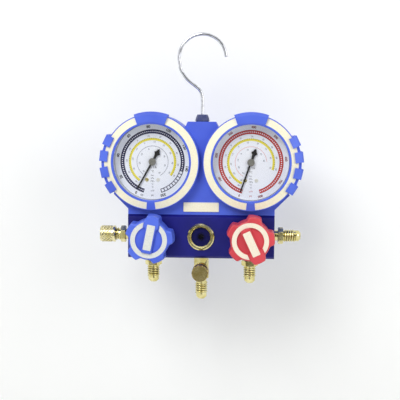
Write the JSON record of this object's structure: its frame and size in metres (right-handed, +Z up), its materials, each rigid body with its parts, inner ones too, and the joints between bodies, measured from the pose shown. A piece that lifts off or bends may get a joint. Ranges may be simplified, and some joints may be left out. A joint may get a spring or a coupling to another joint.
{
  "type": "refrigerant manifold gauge",
  "caption": "Hand-held refrigerant manifold: block with lobed valve knobs, flare ports and sight glass, carrying paired round pressure gauges in a moulded housing under a wire hook.",
  "frame": {"origin": "the point inside the top of the hook where the set hangs, on the centre plane of the ports", "axes": "Upright as it hangs: +Z up, +X to the right seen from the front, gauges and knobs face -Y"},
  "size_m": [0.177, 0.0583, 0.2332],
  "materials": {
    "navy_anodised": "satin",
    "brass": "satin",
    "blue_housing": "satin",
    "blue_knob": "satin",
    "red_knob": "satin",
    "glow_cream": "satin",
    "slate_blue": "satin",
    "chrome": "polished",
    "lens_clear": "gloss",
    "sight_glass": "gloss",
    "dial_white": "satin",
    "pointer_black": "matt",
    "case_black": "satin",
    "rubber_black": "matt",
    "steel": "satin"
  },
  "bodies": {
    "hook": {"hook": "chrome", "hook_nut": "steel"},
    "manifold": {"block_seals": "rubber_black", "centre_tee": "brass", "dial_screws": "brass", "gauge_gaskets": "rubber_black", "gauge_housing": "blue_housing", "glow_strips": "glow_cream", "high_dial": "dial_white", "high_gauge_case": "case_black", "high_gauge_lens": "lens_clear", "high_gauge_socket": "brass", "high_hose_port": "brass", "high_movement_plates": "brass", "high_side_port": "brass", "high_valve_bonnet": "brass", "high_valve_core": "brass", "hook_ferrule": "slate_blue", "housing_screws": "steel", "low_dial": "dial_white", "low_gauge_case": "case_black", "low_gauge_lens": "lens_clear", "low_gauge_socket": "brass", "low_hose_port": "brass", "low_movement_plates": "brass", "low_side_port": "brass", "low_valve_bonnet": "brass", "low_valve_core": "brass", "manifold_block": "navy_anodised", "name_plate": "glow_cream", "rear_cover": "blue_housing", "sight_glass_lens": "sight_glass", "sight_glass_retainer": "brass"},
    "tee_cap": {"tee_cap": "brass", "tee_cap_seal": "rubber_black"},
    "low_side_cap": {"low_side_cap": "brass", "low_side_cap_seal": "rubber_black"},
    "low_core_pin": {"low_core_pin": "brass"},
    "high_core_pin": {"high_core_pin": "brass"},
    "low_piston": {"low_valve_piston": "brass"},
    "low_knob": {"low_knob": "blue_knob", "low_knob_inlay": "glow_cream", "low_knob_screw": "steel", "low_valve_stem": "steel"},
    "low_pointer": {"low_pointer": "pointer_black", "low_pinion_arbor": "steel"},
    "low_sector": {"low_sector_gear": "brass"},
    "low_tube": {"low_bourdon_tube": "brass"},
    "low_link": {"low_link": "brass"},
    "high_piston": {"high_valve_piston": "brass"},
    "high_knob": {"high_knob": "red_knob", "high_knob_inlay": "glow_cream", "high_knob_screw": "steel", "high_valve_stem": "steel"},
    "high_pointer": {"high_pointer": "pointer_black", "high_pinion_arbor": "steel"},
    "high_sector": {"high_sector_gear": "brass"},
    "high_tube": {"high_bourdon_tube": "brass"},
    "high_link": {"high_link": "brass"}
  },
  "joints": [
    {"name": "hook_swivel", "type": "hinge", "parent": "hook", "child": "manifold", "pos_m": [0, 0, -0.06345], "axis": [0, 0, 1], "continuous": true},
    {"name": "low_piston_lift", "type": "slide", "parent": "manifold", "child": "low_piston", "axis": [0, -1, 0], "range_m": [0, 0.003]},
    {"name": "low_knob_turn", "type": "hinge", "parent": "low_piston", "child": "low_knob", "pos_m": [-0.0426, -0.03, -0.17345], "axis": [0, -1, 0], "range_deg": [0, 720]},
    {"name": "low_tube_flex", "type": "hinge", "parent": "manifold", "child": "low_tube", "pos_m": [-0.05049, 0, -0.13267], "axis": [0, -1, 0], "range_deg": [-0.25, 5.51], "stiffness_Nm_per_rad": 2},
    {"name": "low_pointer_turn", "type": "hinge", "parent": "manifold", "child": "low_pointer", "pos_m": [-0.0426, -0.01, -0.10895], "axis": [0, 1, 0], "range_deg": [-14.5, 313.5]},
    {"name": "low_sector_turn", "type": "hinge", "parent": "manifold", "child": "low_sector", "pos_m": [-0.03263, -0.0015, -0.11749], "axis": [0, -1, 0], "range_deg": [-1.57, 33.05]},
    {"name": "low_link_pivot", "type": "hinge", "parent": "low_tube", "child": "low_link", "pos_m": [-0.0256, -0.0027, -0.12345], "axis": [0, -1, 0], "range_deg": [-7.64, 0.44]},
    {"name": "high_piston_lift", "type": "slide", "parent": "manifold", "child": "high_piston", "axis": [0, -1, 0], "range_m": [0, 0.003]},
    {"name": "high_knob_turn", "type": "hinge", "parent": "high_piston", "child": "high_knob", "pos_m": [0.0426, -0.03, -0.17345], "axis": [0, -1, 0], "range_deg": [0, 720]},
    {"name": "high_tube_flex", "type": "hinge", "parent": "manifold", "child": "high_tube", "pos_m": [0.03471, 0, -0.13267], "axis": [0, -1, 0], "range_deg": [0, 5.71], "stiffness_Nm_per_rad": 2},
    {"name": "high_pointer_turn", "type": "hinge", "parent": "manifold", "child": "high_pointer", "pos_m": [0.0426, -0.01, -0.10895], "axis": [0, 1, 0], "range_deg": [0, 324.5]},
    {"name": "high_sector_turn", "type": "hinge", "parent": "manifold", "child": "high_sector", "pos_m": [0.05257, -0.0015, -0.11749], "axis": [0, -1, 0], "range_deg": [0, 34.2]},
    {"name": "high_link_pivot", "type": "hinge", "parent": "high_tube", "child": "high_link", "pos_m": [0.0596, -0.0027, -0.12345], "axis": [0, -1, 0], "range_deg": [-7.91, 0]},
    {"name": "tee_cap_off", "type": "slide", "parent": "manifold", "child": "tee_cap", "axis": [0, -1, 0], "range_m": [0, 0.03]},
    {"name": "low_side_cap_off", "type": "slide", "parent": "manifold", "child": "low_side_cap", "axis": [-1, 0, 0], "range_m": [0, 0.03]},
    {"name": "low_core_press", "type": "slide", "parent": "manifold", "child": "low_core_pin", "axis": [1, 0, 0], "range_m": [0, 0.0015], "stiffness_N_per_m": 900, "springref_m": -0.001},
    {"name": "high_core_press", "type": "slide", "parent": "manifold", "child": "high_core_pin", "axis": [-1, 0, 0], "range_m": [0, 0.0015], "stiffness_N_per_m": 900, "springref_m": -0.001}
  ],
  "couplings": [
    {"joint": "low_piston_lift", "follows": "low_knob_turn", "m_per_rad": 0.00023873},
    {"joint": "low_pointer_turn", "follows": "low_tube_flex", "ratio": 56.785},
    {"joint": "low_sector_turn", "follows": "low_tube_flex", "ratio": 5.9774},
    {"joint": "low_link_pivot", "follows": "low_tube_flex", "ratio": -1.3683},
    {"joint": "high_piston_lift", "follows": "high_knob_turn", "m_per_rad": 0.00023873},
    {"joint": "high_pointer_turn", "follows": "high_tube_flex", "ratio": 56.785},
    {"joint": "high_sector_turn", "follows": "high_tube_flex", "ratio": 5.9774},
    {"joint": "high_link_pivot", "follows": "high_tube_flex", "ratio": -1.3683}
  ]
}
